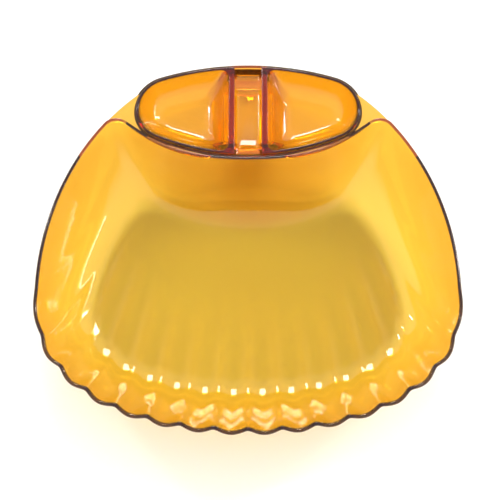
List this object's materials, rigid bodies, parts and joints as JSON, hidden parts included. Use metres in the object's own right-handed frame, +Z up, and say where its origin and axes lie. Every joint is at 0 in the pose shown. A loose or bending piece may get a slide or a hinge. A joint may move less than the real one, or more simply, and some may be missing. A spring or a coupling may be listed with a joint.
{
  "type": "chip and dip server",
  "caption": "Scallop-shell chip bowl with a ledge and seat behind its rim, holding a lift-out oval dip dish with cups either side of a channel.",
  "frame": {"origin": "on the table, at the middle of the object's box", "axes": "+Z up, +Y from the fluted front towards the dip dish, +X to the right of a person at the front"},
  "size_m": [0.242, 0.2306, 0.045],
  "materials": {
    "bowl_plastic": "polished clear amber",
    "dish_plastic": "polished clear amber"
  },
  "bodies": {
    "bowl": {"serving_bowl": "bowl_plastic"},
    "dish": {"dip_dish": "dish_plastic"}
  },
  "joints": [
    {"name": "dish_lift", "type": "slide", "parent": "bowl", "child": "dish", "axis": [0, 0, 1], "range_m": [0, 0.06]}
  ]
}
